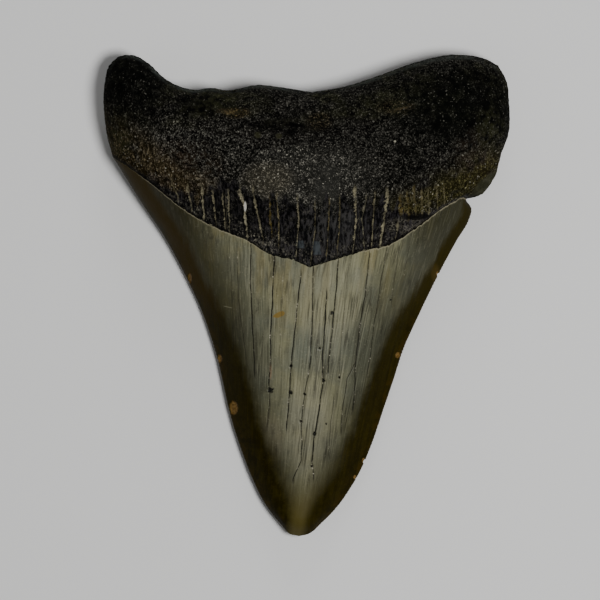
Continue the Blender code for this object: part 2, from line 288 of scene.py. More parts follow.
# Mineral veins of the band: width, brightness, ochre share and points.
VEINS = [
    (0.45, 0.55, 0.3, [(-33.3, 27.5), (-31.9, 24.8)]),
    (0.50, 0.60, 0.2, [(-29.4, 26.4), (-28.4, 21.9)]),
    (0.60, 0.80, 0.1, [(-25.9, 26.1), (-25.4, 20.1)]),
    (0.50, 0.65, 0.2, [(-23.1, 24.7), (-22.4, 17.7)]),
    (0.50, 0.60, 0.2, [(-20.7, 24.3), (-20.1, 17.0)]),
    (0.55, 0.70, 0.1, [(-19.3, 24.7), (-19.1, 16.3)]),
    (0.90, 1.00, 0.0, [(-16.5, 25.7), (-15.4, 22.2), (-15.1, 18.0), (-14.7, 14.2)]),
    (0.60, 0.70, 0.2, [(-13.3, 25.7), (-12.3, 21.5), (-11.6, 18.0), (-10.8, 14.0)]),
    (0.60, 0.45, 1.0, [(-9.1, 23.3), (-8.9, 19.0), (-8.6, 15.5)]),
    (0.50, 0.65, 0.5, [(-7.4, 24.0), (-6.8, 18.0), (-7.0, 12.4)]),
    (0.50, 0.75, 0.1, [(-2.3, 23.3), (-1.9, 18.0), (-2.6, 11.0)]),
    (0.35, 0.45, 0.4, [(2.1, 22.2), (2.1, 15.9), (1.0, 8.6)]),
    (0.40, 0.50, 0.7, [(5.6, 22.9), (5.3, 15.0), (4.9, 9.6)]),
    (0.40, 0.60, 0.6, [(8.2, 23.3), (8.0, 15.9), (7.5, 9.6)]),
    (0.65, 0.80, 0.15, [(11.9, 25.7), (12.2, 19.4), (11.5, 11.2)]),
    (0.45, 0.45, 0.0, [(14.7, 24.0), (13.6, 18.8), (14.3, 12.4)]),
    (0.45, 0.60, 0.3, [(16.8, 24.3), (16.4, 18.0), (16.1, 12.0)]),
    (0.85, 0.90, 0.1, [(19.9, 25.0), (19.2, 18.8), (18.2, 12.6)]),
    (1.10, 0.55, 0.9, [(23.1, 23.8), (23.4, 21.4)]),
    (0.70, 0.55, 0.9, [(24.8, 24.6), (25.2, 20.2)]),
    (0.50, 0.50, 0.8, [(26.6, 25.8), (27.0, 20.8)]),
    (0.50, 0.55, 0.6, [(28.5, 25.6), (28.7, 20.8)]),
    (0.45, 0.55, 0.3, [(30.1, 25.2), (30.4, 21.0)]),
    (0.45, 0.50, 0.5, [(32.2, 26.0), (32.6, 22.4)]),
    (0.40, 0.50, 0.4, [(34.0, 26.2), (34.3, 23.4)]),
    (0.70, 0.55, 0.2, [(22.6, 17.0), (21.9, 14.0)]),
]
# Chips of the cutting edges that show the amber inner enamel: place, radius across and along.
CHIPS = [
    (-29.2, 4.4, 0.55, 1.3), (-21.7, -15.7, 0.65, 1.1), (-18.2, -28.0, 1.1, 1.8),
    (22.9, -14.8, 0.7, 0.8), (32.9, 5.6, 0.35, 0.6), (14.4, -41.2, 0.45, 0.7),
    (12.2, -45.3, 0.4, 0.6),
]
# Small knobs and one bright grain on the root: place, radius and height.
KNOBS = [(-12.1, 39.6, 1.2, 0.45), (-6.9, 39.3, 1.1, 0.40), (21.7, 38.0, 0.6, 0.35)]
WOBBLE = 0.08
WOBBLE_LENGTH = 2.4
LINE_REACH = 0.9
LINE_FADE = 2.2
LINE_OVERLAP = 0.6
FAR_OFF = 99.0
CRACK_DEPTH = 0.15
CRACK_WALL = (0.04, 0.30)
VEIN_DEPTH = 0.16
VEIN_WALL = (0.10, 0.40)
PIT_DEPTH = 0.32
PIT_WALL = (0.4, 1.1)
CHIP_DEPTH = 0.30
CHIP_WALL = (0.7, 1.1)
CHIP_HOLLOW = 0.30


def nearest_line(x, y, lines):
    """How far the nearest line is, how far sideways, its row number and its share of strength.

    Left of a line counts as minus, so that the way sideways stays true inside each triangle.
    """
    best = np.full(len(x), FAR_OFF)
    side = np.full(len(x), LINE_REACH)
    row = np.zeros(len(x), int)
    share = np.zeros(len(x))
    for number, points in enumerate(lines):
        points = np.array(points)[::-1]
        sway = np.sin(y / WOBBLE_LENGTH * 2 + 1.7 * number)
        sway *= np.sin(y / WOBBLE_LENGTH * 0.77 + number)
        gap = x - np.interp(y, points[:, 1], points[:, 0]) - WOBBLE * sway
        past = np.maximum(points[0, 1] - y, 0) + np.maximum(y - points[-1, 1], 0)
        nearer = np.hypot(gap, past) < best
        best = np.where(nearer, np.hypot(gap, past), best)
        side = np.where(nearer, np.clip(gap, -LINE_REACH, LINE_REACH), side)
        row = np.where(nearer, number, row)
        share = np.where(nearer, 1 - fade(past, 0, LINE_FADE), share)
    share *= 1 - fade(np.abs(side), 0.75 * LINE_REACH, LINE_REACH)
    return best, side, row, share


def surface_marks(x, y, above, lingual):
    """How each place lies to the cracks, veins, chips and pits, and how near the nearest one is."""
    crack_gap, crack_side, crack_row, crack = nearest_line(x, y, [row[-1] for row in CRACKS])
    vein_gap, vein_side, vein_row, vein = nearest_line(x, y, [row[-1] for row in VEINS])
    pit_gaps = [np.hypot(x - px, y - py) / radius for px, py, radius in PITS]
    pit_gap = np.min(pit_gaps, axis=0)
    chip_gaps = [np.hypot((x - cx) / wide, (y - cy) / tall) for cx, cy, wide, tall in CHIPS]
    chip_gap = np.min(chip_gaps, axis=0)
    near_enamel, near_band = above < LINE_OVERLAP, above > -LINE_OVERLAP
    crack_width, crack_strength = np.array([row[:2] for row in CRACKS]).T
    vein_width, vein_strength, vein_ochre = np.array([row[:3] for row in VEINS]).T
    marks = {
        "crack_side": crack_side,
        "crack_width": crack_width[crack_row],
        "crack": crack * crack_strength[crack_row] * lingual * near_enamel,
        "vein_side": vein_side,
        "vein_width": vein_width[vein_row],
        "vein": vein * vein_strength[vein_row] * lingual * near_band,
        "ochre": vein_ochre[vein_row],
        "pit_gap": np.where(lingual, np.minimum(pit_gap, 3), 3),
        "chip_gap": np.minimum(chip_gap, 3),
    }
    nearest = np.where(near_enamel, crack_gap, FAR_OFF)
    nearest = np.minimum(nearest, np.where(near_band, vein_gap, FAR_OFF))
    nearest = np.minimum(nearest, 0.6 * np.maximum(pit_gap - 0.6, 0))
    nearest = np.where(lingual, nearest, FAR_OFF)
    return marks, np.minimum(nearest, np.maximum(chip_gap - 0.8, 0))


# The mesh of the tooth. A coarse grid over both faces is split until its sides are as short as the
# surface needs: finest along the cracks and veins and over the spongy root.
COLUMNS = 40
CROWN_ROWS = 34
ROOT_ROWS = 24
EDGE_CROWDING = np.radians(77)
TIP_CROWDING = 1.15
REFINE_ROUNDS = 5
ON_RIM = 1e-6
# The longest sides of its triangles, in millimetres, by where they lie.
LINE_SIDE = 0.30
LINE_BORDER = 0.35
SIDE_GROWTH = 0.8
ROOT_SIDE = 0.60
BAND_SIDE = 0.46
BAND_MARGIN = 2
BAND_HALF_WIDTH = 0.85
CROWN_SIDE = 0.95
RIM_SIDE = 0.36
LABIAL_ROOT_SIDE = 1.0
LABIAL_CROWN_SIDE = 1.5

side_steps = np.sin(np.linspace(-EDGE_CROWDING, EDGE_CROWDING, COLUMNS + 1))
side_steps /= np.sin(EDGE_CROWDING)
crown_steps = np.linspace(0, 1, CROWN_ROWS + 1) ** TIP_CROWDING
root_steps = 1 + np.sin(np.linspace(0, np.pi / 2, ROOT_ROWS + 1))[1:]
rise_steps = np.concatenate([crown_steps, root_steps])
rows = len(rise_steps) - 1

# The grid's corners hold side, rise and face: 1 lingual, -1 labial, 0 on the rim that both share.
grid = bmesh.new()
corners = {}
for face in (1, -1):
    for i in range(COLUMNS + 1):
        for j in range(rows + 1):
            on_rim = i in (0, COLUMNS) or j in (0, rows)
            key = (i, j, 0 if on_rim else face)
            if key not in corners:
                corners[key] = grid.verts.new((side_steps[i], rise_steps[j], key[2]))
    for i in range(COLUMNS):
        for j in range(rows):
            ring = [(i, j), (i + 1, j), (i + 1, j + 1), (i, j + 1)][::face]
            ring = [corners.get((*c, face)) or corners[(*c, 0)] for c in ring]
            inside = [index for index, corner in enumerate(ring) if corner.co.z]
            if len(inside) > 1:
                grid.faces.new(ring)
                continue
            # A cell in a corner of the grid has three places on the rim. It's halved from its
            # fourth, so that no side runs across it that both faces would share.
            ring = ring[inside[0] :] + ring[: inside[0]]
            grid.faces.new(ring[:3])
            grid.faces.new([ring[2], ring[3], ring[0]])


def grid_params():
    """Side, rise and face of every corner, with the face set to exactly -1, 0 or 1."""
    side, rise, face = np.array([vertex.co for vertex in grid.verts]).T
    rim = (np.abs(side) > 1 - ON_RIM) | (rise < ON_RIM) | (rise > 2 - ON_RIM)
    return side, rise, np.where(rim, 0, np.where(face >= 0, 1, -1))


for _ in range(REFINE_ROUNDS):
    side, rise, face = grid_params()
    places, above = tooth_surface(side, rise, face)
    _, nearest = surface_marks(*places[:, :2].T, above, face >= 0)
    near_band = fade(BAND_LENGTH + BAND_MARGIN - above, 0, 3) * (np.abs(side) < BAND_HALF_WIDTH)
    goal = np.where(rise > 1, ROOT_SIDE + (BAND_SIDE - ROOT_SIDE) * near_band, CROWN_SIDE)
    goal = np.where(face < 0, np.where(rise > 1, LABIAL_ROOT_SIDE, LABIAL_CROWN_SIDE), goal)
    goal = np.minimum(goal, LINE_SIDE + SIDE_GROWTH * np.maximum(nearest - LINE_BORDER, 0))
    blade_rim = (np.abs(side) > 1 - ON_RIM) & (rise < 1)
    goal = np.where(blade_rim, np.minimum(goal, RIM_SIDE), goal)
    grid.verts.index_update()
    ends = np.array([[v.index for v in edge.verts] for edge in grid.edges])
    length = np.linalg.norm(places[ends[:, 0]] - places[ends[:, 1]], axis=1)
    long = length > goal[ends].min(axis=1)
    if not long.any():
        break
    bmesh.ops.subdivide_edges(
        grid,
        edges=[edge for edge, split in zip(grid.edges, long) if split],
        cuts=1,
        use_grid_fill=True,
        quad_corner_type="INNER_VERT",
    )
    for vertex, kind in zip(grid.verts, grid_params()[2]):
        vertex.co.z = kind
bmesh.ops.triangulate(grid, faces=grid.faces)

# Every corner goes to its place on the tooth, with the cutting edges' worn serrations, the chips,
# cracks and pits cut in, the band fluted between its veins and the root's knobs raised.
CUTTING_EDGE_LENGTH = 92.0
SERRATION_PITCH = 0.85
SERRATION_DEPTH = 0.10
SERRATION_REACH = 0.8
FLUTE_WIDTH = 1.5
FLUTE_HEIGHT = 0.16
BAND_RAGGEDNESS = 6.0
# How far the bare band reaches above the enamel line: X and the reach.
BARE_BAND = [
    (-48, 0.5), (-38, 1.2), (-33, 2.6), (-30, 4.2), (-25, 7.5), (-20, 10.5), (-15, 12.8),
    (-8, 14.0), (2, 14.6), (9, 13.8), (15, 13.0), (20, 12.0), (23, 9.0), (26, 5.2), (30, 3.2),
    (36, 1.6), (42, 0.5),
]
side, rise, face = grid_params()
places, above = tooth_surface(side, rise, face)
x, y, z = places.T
top = face >= 0
marks, _ = surface_marks(x, y, above, top)


def nearest_on(left, right):
    """For every place, the number of the nearest point on two lines, and how far it is."""
    points = np.concatenate([along(line, np.linspace(0, 1, CURVE_STEPS)) for line in (left, right)])
    tree = kdtree.KDTree(len(points))
    for index, point in enumerate(points):
        tree.insert((*point, 0), index)
    tree.balance()
    found = [tree.find((*place, 0)) for place in zip(x, y)]
    return np.array([item[1] for item in found]), np.array([item[2] for item in found])


_, rim = nearest_on(ROOT_TOP_LEFT, ROOT_TOP_RIGHT)
at, edge = nearest_on(CROWN_LEFT, CROWN_RIGHT)
edge = np.maximum(edge, above)
inward = np.where(at < CURVE_STEPS, 1.0, -1.0)
run = (at % CURVE_STEPS) / CURVE_STEPS * CUTTING_EDGE_LENGTH
wear = 0.55 + 0.45 * np.sin(run * 0.31 + np.sin(run * 0.83) + inward)
serration = SERRATION_DEPTH * wear * (0.5 + 0.5 * np.cos(run / SERRATION_PITCH * 2 * np.pi))
serration *= 1 - fade(edge, 0, SERRATION_REACH)
chip = 1 - fade(marks["chip_gap"], *CHIP_WALL)
push = (serration + CHIP_DEPTH * chip * (1 - fade(edge, 0, 1.4))) * fade(-above, 0.5, 2.0)

band_height = np.interp(x, *np.transpose(BARE_BAND))
ragged = np.array([noise.noise(Vector((px / 2.0, py / 11, 5.0))) for px, py in zip(x, y)])
ragged *= BAND_RAGGEDNESS * fade(band_height, 0, 8)
band = top * fade(band_height + ragged - above, -0.6, 0.8) * (above > 0)
climb = np.clip(above / np.maximum(band_height, 2), 0, 1.3)
flute = np.array([noise.noise(Vector((px / FLUTE_WIDTH, py / 14, 2.0))) for px, py in zip(x, y)])
z = z + FLUTE_HEIGHT * flute * band * fade(above, 0, 1.2)
z = z - top * CRACK_DEPTH * marks["crack"] * (1 - fade(np.abs(marks["crack_side"]), *CRACK_WALL))
z = z - top * VEIN_DEPTH * marks["vein"] * (1 - fade(np.abs(marks["vein_side"]), *VEIN_WALL))
z = z - top * PIT_DEPTH * (1 - fade(marks["pit_gap"], *PIT_WALL))
z = z - top * CHIP_HOLLOW * chip * fade(edge, 0, 0.6)
for kx, ky, radius, height in KNOBS:
    z = z + top * height * np.sqrt(np.clip(1 - ((x - kx) ** 2 + (y - ky) ** 2) / radius**2, 0, 1))
places = np.stack([x + inward * push, y + 0.3 * push, np.maximum(z, 0)], axis=-1)
places[:, :2] -= (places[:, :2].min(axis=0) + places[:, :2].max(axis=0)) / 2
places[:, :2] += np.array((cad_box[0] + cad_box[1]) / 2)[:2] / MM

for vertex, place in zip(grid.verts, places * MM):
    vertex.co = place
mesh = bpy.data.meshes.new("tooth_surface")
grid.to_mesh(mesh)
grid.free()
masks = dict(marks, above=above, edge=edge, rim=rim, band=band, climb=climb, inner=1.0 * top)
masks["root"] = fade(above, 0, 0.4)
for name, values in masks.items():
    stored = mesh.attributes.new(name, "FLOAT", "POINT")
    stored.data.foreach_set("value", np.asarray(values, np.float32))
tooth = bpy.data.objects.new("tooth_visual", mesh)
bpy.context.scene.collection.objects.link(tooth)


# The fossil's finish. The enamel turned olive grey in the sediment, with dark see-through margins
# where it is thin. The band above it is bare black dentine, and the root is black spongy bone.
class Wire:
    """One socket of a node tree. Sums and products of these add Math nodes."""

    def __init__(self, tree, socket):
        self.tree = tree
        self.socket = socket

    def node(self, kind, settings, sockets, out=0):
        """Adds a node of this kind, sets it up, fills its sockets and gives one of its outputs."""
        made = self.tree.nodes.new(kind)
        for name, value in settings.items():
            setattr(made, name, value)
        for name, value in sockets.items():
            if isinstance(value, Wire):
                self.tree.links.new(value.socket, made.inputs[name])
            else:
                made.inputs[name].default_value = value
        return Wire(self.tree, made.outputs[out])

    def colour(self):
        """The colour that this socket's node gives beside its number."""
        return Wire(self.tree, self.socket.node.outputs["Color"])

    def math(self, operation, *values):
        return self.node("ShaderNodeMath", {"operation": operation}, dict(enumerate(values)))

    def __add__(self, other):
        return self.math("ADD", self, other)

    def __sub__(self, other):
        return self.math("SUBTRACT", self, other)

    def __rsub__(self, other):
        return self.math("SUBTRACT", other, self)

    def __mul__(self, other):
        return self.math("MULTIPLY", self, other)

    def __truediv__(self, other):
        return self.math("DIVIDE", self, other)

    def __pow__(self, other):
        return self.math("POWER", self, other)

    def __abs__(self):
        return self.math("ABSOLUTE", self)

    __radd__ = __add__
    __rmul__ = __mul__

    def rise(self, start, end):
        """0 up to the start and 1 from the end, with a soft change between."""
        sockets = {"Value": self, "From Min": start, "From Max": end}
        return self.node("ShaderNodeMapRange", {"interpolation_type": "SMOOTHSTEP"}, sockets)

    def mix(self, below, above):
        """The colour below where this is 0, and the one above where it is 1."""
        colours = [(*c, 1.0) if isinstance(c, tuple) else c for c in (below, above)]
        sockets = {0: self, 6: colours[0], 7: colours[1]}
        settings = {"data_type": "RGBA", "clamp_factor": True}
        return self.node("ShaderNodeMix", settings, sockets, out=2)

    def scaled(self, size, stretch=(1, 1, 1), shift=(0, 0, 0)):
        """This vector measured in units of the size, stretched along each axis and moved."""
        sockets = {0: self, 1: [s / size for s in stretch], 2: shift}
        return self.node("ShaderNodeVectorMath", {"operation": "MULTIPLY_ADD"}, sockets)

    def noise(self, size, detail=3.0, roughness=0.55, stretch=(1, 1, 1), shift=(0, 0, 0)):
        """Cloudy noise around 0.5 with spots of this size in millimetres, read at this vector."""
        sockets = {"Vector": self.scaled(size, stretch, shift), "Scale": 1.0}
        sockets.update(Detail=detail, Roughness=roughness)
        return self.node("ShaderNodeTexNoise", {}, sockets)

    def grains(self, size, stretch=(1, 1, 1), shift=(0, 0, 0)):
        """Cells of this size: the distance to each cell's middle, and one random number a cell."""
        sockets = {"Vector": self.scaled(size, stretch, shift), "Scale": 1.0}
        distance = self.node("ShaderNodeTexVoronoi", {"feature": "F1"}, sockets)
        return distance, self.node("ShaderNodeSeparateColor", {}, {0: distance.colour()})


finish = bpy.data.materials.new("fossil_tooth_finish")
finish.use_nodes = True
shader = finish.node_tree.nodes["Principled BSDF"]
start = Wire(finish.node_tree, None)


def stored_mask(name):
    return start.node("ShaderNodeAttribute", {"attribute_name": name}, {}, out=2)


above, edge, band, inner = map(stored_mask, ("above", "edge", "band", "inner"))
grain = stored_mask("grain")
metres = start.node("ShaderNodeTexCoord", {}, {}, out=3)
place = metres.scaled(MM)
x, y, z = (start.node("ShaderNodeSeparateXYZ", {}, {0: place}, out=axis) for axis in range(3))


def spot(middle_x, middle_y, reach_x, reach_y, softness=0.8):
    """1 in the middle of a soft oval patch and 0 outside it."""
    far = ((x - middle_x) / reach_x) ** 2 + ((y - middle_y) / reach_y) ** 2
    return far.rise(1.0, 1.0 - softness)


# Growth lines fan slowly together towards a point far below the tip. Each column of the fine ones
# is moved lengthwise by its own amount, so that they don't all start and stop at one height.
FAN_POINT = (-16.6, -180.75)
FAN_LENGTH = 190
COLUMN_SLIDE = 60
fan_x = (x - FAN_POINT[0]) * FAN_LENGTH / (y - FAN_POINT[1])
column = start.node("ShaderNodeCombineXYZ", {}, {0: fan_x})
slide = column.noise(1.3, 1, 0.5, (1, 1, 1), (2, 5, 2)) * COLUMN_SLIDE
fan = start.node("ShaderNodeCombineXYZ", {}, {0: fan_x, 1: y, 2: z * 0.3})
grown = start.node("ShaderNodeCombineXYZ", {}, {0: fan_x, 1: y + slide, 2: z * 0.3})
hair = grown.noise(0.40, 1, 0.5, (1, 0.014, 1))
streak = grown.noise(1.1, 1, 0.5, (1, 0.025, 1), (3, 0, 5))
broad = fan.noise(4.0, 3, 0.6, (1, 0.22, 1), (9, 2, 0))
gate = fan.noise(3.0, 2, 0.6, (0.6, 0.3, 0.5), (7, 1, 3))
cloud = place.noise(12.0, 4, 0.55, (1, 1.3, 1), (1, 4, 2))
mottle = place.noise(2.2, 4, 0.65)
dust = place.noise(0.5, 2, 0.7)
patchy = place.noise(2.6, 2, 0.6, (0.5, 1, 0.5), (7, 1, 3))
right = (x / 26).rise(-1, 1)

# Enamel: olive cream near the band and down the middle, cooler grey between and to the right and
# darker towards the sides, with fine dark growth lines all down it. The darkening towards the
# sides, stronger on the left, is partly the enamel's own tone and partly painted shade where the
# light falls away over the curve; a paler patch right of the middle is partly painted highlight.
enamel = cloud.rise(0.40, 0.60).mix((0.190, 0.185, 0.108), (0.145, 0.148, 0.102))
cool = spot(16, -16, 9, 22) + spot(-14, -14, 8, 20) + spot(-1, -14, 4, 8)
enamel = (cool * 0.55).mix(enamel, (0.112, 0.122, 0.092))
enamel = (broad.rise(0.46, 0.62) * (y + 14).rise(0, 18) * 0.50).mix(enamel, (0.200, 0.168, 0.074))
enamel = (spot(0.5, -33, 8, 16) * 0.36).mix(enamel, (0.245, 0.228, 0.155))
# Painted highlight: a paler patch right of the middle, partly the enamel's pale tone and partly the
# sheen of the light over the crown.
enamel = (spot(6, 0, 12, 14) * 0.35).mix(enamel, (0.270, 0.260, 0.170))
enamel = (spot(-9, -36, 4, 8) * 0.40).mix(enamel, (0.205, 0.170, 0.112))
# Painted shade: the enamel darkens towards its flanks, more on the left, partly its own darker tone
# and partly shade where the curve turns from the light.
flank_tone_and_shade = edge.rise(19, 3) * (0.98 - right * 0.14 - (-8 - y).rise(0, 20) * 0.16)
enamel = flank_tone_and_shade.mix(enamel, right.mix((0.029, 0.0270, 0.0100), (0.028, 0.0280, 0.0155)))
enamel = (spot(37, 20, 17, 14, 1.0) * 0.85).mix(enamel, (0.0265, 0.0255, 0.0105))
enamel = (spot(-38, 22, 15, 18, 1.0) * 0.90).mix(enamel, (0.0175, 0.0150, 0.0040))
open_face = 1.1 - flank_tone_and_shade
enamel = (streak.rise(0.50, 0.74) * 0.24).mix(enamel, (0.065, 0.062, 0.038))
enamel = (streak.rise(0.42, 0.30) * 0.24 * open_face).mix(enamel, (0.270, 0.258, 0.172))
enamel = (hair.rise(0.52, 0.68) * 0.36).mix(enamel, (0.045, 0.043, 0.027))
enamel = (hair.rise(0.43, 0.30) * 0.26 * open_face).mix(enamel, (0.320, 0.302, 0.208))
for seed, strength in ((1, 0.56), (4, 0.46), (8, 0.40), (12, 0.36)):
    growth = abs(grown.noise(1.5, 1, 0.5, (1, 0.02, 1), (seed, 7, 1)) - 0.5).rise(0.034, 0.006)
    enamel = (growth * gate.rise(0.40, 0.62) * strength).mix(enamel, (0.026, 0.025, 0.016))
enamel = (dust.rise(0.58, 0.70) * 0.24 * open_face).mix(enamel, (0.330, 0.310, 0.210))
enamel = (dust.rise(0.40, 0.29) * 0.30).mix(enamel, (0.050, 0.047, 0.031))

# Margins: see-through brown, wider lower down, golden at the left shoulder and olive at the right.
# A pale core runs down between them and turns amber at the tip.
wide = 3.9 - right * (y + 4).rise(0, 14) * 1.4 + (8 - y).rise(0, 40) * (3.4 - right)
depth = (edge + (mottle - 0.5) * 1.6 + (broad - 0.5) * 2.0 + (streak - 0.5) * 1.8) / wide
brown = mottle.rise(0.35, 0.65).mix((0.0100, 0.0074, 0.0001), (0.0205, 0.0160, 0.0008))
brown = ((y + 38).rise(0, 12) * (1 - right) * 0.55).mix(brown, (0.0175, 0.0135, 0.0004))
brown = (right * 0.55).mix(brown, (0.0180, 0.0140, 0.0008))
brown = (streak.rise(0.45, 0.62) * 0.35).mix(brown, (0.0060, 0.0045, 0.0002))
shoulder = (y + 10).rise(0, 14)
golden = shoulder * (1 - right) * depth.rise(0.00, 0.25)
brown = (golden * 0.90).mix(brown, (0.0310, 0.0190, 0.0001))
brown = (shoulder * right * 0.75).mix(brown, (0.0230, 0.0180, 0.0030))
brown = (spot(32.2, 5.6, 1.4, 3.0, 1.0) * 0.5).mix(brown, (0.0700, 0.0460, 0.0120))
brown = (dust.rise(0.60, 0.70) * 0.25).mix(brown, (0.060, 0.044, 0.005))
brown = (hair.rise(0.56, 0.70) * 0.25).mix(brown, (0.036, 0.026, 0.001))
rust = edge.rise(2.4, 0.3) * mottle.rise(0.45, 0.62) * (1 - shoulder)
brown = (rust * 0.35).mix(brown, (0.0420, 0.0220, 0.0030))
bevel = edge.rise(0.35, 0.10) * (0.10 + mottle * 0.5)
brown = bevel.mix(brown, (0.0700, 0.0590, 0.0330))
middle = abs(x + 2.1 - (y + 56) * 0.17 + (mottle - 0.5) * 1.6)
core = (middle / (2.0 + y.rise(-56, -38) * 4.6)).rise(1.75, 0.20)
low = y.rise(-36, -44)
field = depth.rise(0.72, 1.38) * (1 - low) + core * low
enamel = (y.rise(-43, -57) * 0.94).mix(enamel, (0.0700, 0.0560, 0.0130))
enamel = field.mix(brown, enamel)

# Amber shows where the edges are chipped and in one patch. Dark dirt fills the cracks and pits.
chipped = (stored_mask("chip_gap") + (dust - 0.5) * 1.2).rise(1.05, 0.80)
inner_enamel = dust.rise(0.3, 0.7).mix((0.098, 0.052, 0.011), (0.250, 0.150, 0.045))
enamel = (chipped * 0.9).mix(enamel, inner_enamel)
amber_x = x + 6.9
amber = (amber_x / 1.55) ** 2 + ((y + 4.7 - amber_x * 0.3) / (0.75 + amber_x * 0.12)) ** 2
enamel = ((amber + (dust - 0.5) * 0.8).rise(1.0, 0.7) * 0.85).mix(enamel, (0.190, 0.120, 0.022))
enamel = (spot(-9.0, -18.8, 0.35, 2.4) * 0.5).mix(enamel, (0.34, 0.22, 0.13))
crack_gap = abs(stored_mask("crack_side") + (dust - 0.5) * 0.16)
crack_width = stored_mask("crack_width") * (0.26 + patchy * 0.80)
cracked = stored_mask("crack")
crack = (crack_gap / crack_width).rise(1.0, 0.35) * cracked * patchy.rise(0.12, 0.50)
halo = crack_gap.rise(0.70, 0.10) * cracked
enamel = (halo * mottle.rise(0.38, 0.66) * 0.40).mix(enamel, (0.060, 0.055, 0.032))
enamel = crack.mix(enamel, (0.006, 0.006, 0.004))
fleck = crack_gap.rise(0.30, 0.10) * cracked * dust.rise(0.58, 0.66) * patchy.rise(0.48, 0.40)
enamel = (fleck * 0.85).mix(enamel, (0.46, 0.42, 0.32))
pit = (stored_mask("pit_gap") + (dust - 0.5) * 2.2).rise(1.05, 0.60)
enamel = (pit * 0.95).mix(enamel, (0.005, 0.005, 0.004))
scratch = abs(x * 0.22 + y + 7.1).rise(0.18, 0.06) * spot(-19.6, -2.8, 1.3, 3.0)
enamel = (scratch * 0.5).mix(enamel, (0.20, 0.19, 0.12))

# Root: black bone cobbled with small pale grains, drawn out upright near the band. They are
# thickest on the central bulge, where painted light also brightens the bone, with a cream patch
# left of it, gold low on both sides and few on the lobes. Fewer grains in the hollow above the
# bulge give it painted shade. A thin grey-green painted highlight follows the rim, and a few grains
# carry painted glints.
far_out = abs(x + 2) / 17
gilded = place.noise(5.0, 2, 0.5, (1, 1, 1), (3, 3, 3)).rise(0.30, 0.52)
gold = (16 - above).rise(0, 9) * far_out.rise(0.75, 1.6) * gilded
olive = (y - 39).rise(0, 7) * cloud.rise(0.40, 0.60) + spot(-16, 48, 9, 5) * 0.6
# Painted light: the central bulge is made paler and given more and brighter grains, partly its
# grains and partly the light on its crest.
bulge_grains_and_light = spot(1, 29.3, 20, 10, 1.0)
cream = spot(-9.5, 28.5, 8, 5.5, 1.0)
smooth = spot(5.0, 27.0, 4, 6.5)
lobes = spot(-43, 54, 12, 13, 0.9) + spot(37.5, 47.5, 19, 12.5, 0.9)
stains = spot(-17.6, 45.2, 4.2, 1.8) + spot(22.0, 46.5, 6.0, 2.6) * 0.5 + spot(3, 43, 4, 3) * 0.7
sway = (mottle - 0.5) * 3.6 + (dust - 0.5) * 1.0
fold = abs(y - 45.4 + (x + 16) * 0.10 + sway).rise(0.8, 0.1) * spot(-18.0, 45.4, 5, 3, 1.0)
fold = abs(y - 45.9 - (x - 22) * 0.25 + sway).rise(0.7, 0.1) * spot(24.5, 46.5, 6, 3, 1.0) + fold
fold = fold * patchy.rise(0.36, 0.62) * (0.35 + dust.rise(0.40, 0.60))
bone = mottle.rise(0.32, 0.68).mix((0.0003, 0.0003, 0.0002), (0.0036, 0.0034, 0.0026))
bone = (lobes * 0.70).mix(bone, (0.0014, 0.0017, 0.0012))
bone = (bulge_grains_and_light * 0.55).mix(bone, (0.017, 0.0165, 0.0138))
bone = (cream * 0.6).mix(bone, (0.036, 0.032, 0.022))
bone = (smooth * 0.6).mix(bone, (0.024, 0.0235, 0.0200))
bone = (gold * 0.5).mix(bone, right.mix((0.0160, 0.0112, 0.0022), (0.0150, 0.0130, 0.0020)))
bone = (olive * mottle.rise(0.40, 0.65) * (0.6 - lobes * 0.5)).mix(bone, (0.016, 0.017, 0.007))
russet = spot(-31, 31, 13, 9, 1.0) + spot(42, 34, 8, 9, 1.0) * 0.7
bone = (russet * mottle.rise(0.40, 0.60) * 0.6).mix(bone, (0.018, 0.0115, 0.0055))
strip = spot(45.5, 41, 4.5, 7, 1.0) + spot(-46.5, 38.5, 4, 5, 0.9)
bone = (strip * mottle.rise(0.38, 0.60) * 0.65).mix(bone, (0.020, 0.021, 0.008))
golden_grains = right.mix((0.225, 0.172, 0.085), (0.222, 0.198, 0.052))
pale = (gold * 0.85).mix((0.300, 0.285, 0.238), golden_grains)
pale = (russet * gilded.rise(1.0, 0.2) * 0.8).mix(pale, (0.260, 0.195, 0.135))
pale = (cream * 0.7).mix(pale, (0.320, 0.285, 0.200))
pale = (olive * 0.6).mix(pale, (0.140, 0.142, 0.060))
pale = (lobes * 0.5).mix(pale, (0.130, 0.135, 0.105))
pale = (stains * 0.7).mix(pale, (0.260, 0.170, 0.045))
plenty = 0.33 + bulge_grains_and_light * 0.26 + cream * 0.20 + gold * 0.32 + stains * 0.30 - smooth * 0.34
# Painted shade: fewer pale grains in the hollow above the bulge darken it.
plenty = plenty - lobes * 0.24 + spot(-27, 34, 25, 12) * 0.26 - spot(-6, 42.0, 14, 3.2, 1.0) * 0.24
plenty = plenty - spot(-27, 47, 8, 4, 1.0) * 0.30 + spot(-6, 25, 12, 3.5, 1.0) * 0.20
plenty = plenty + (mottle - 0.5) * 1.1
warp = place.noise(0.7, 1, 0.5).colour()
rubble = warp.scaled(1, (0.9, 0.9, 0.9), place)
upright = above.rise(15, 4)
cobbles = 0
for size, stretch, share in (
    (0.52, (1, 0.9, 1), 1 - upright),
    (0.50, (1.1, 0.5, 1), upright),
    (0.34, (1, 0.8, 1), 0.8),
):
    distance, chance = rubble.grains(size, stretch, (size, 2, 8))
    cobbles = distance.rise(0.56, 0.26) * chance**2.0 * share + cobbles
cobbles = cobbles * (0.80 + grain * 0.7)
bone = (cobbles * plenty).mix(bone, pale)
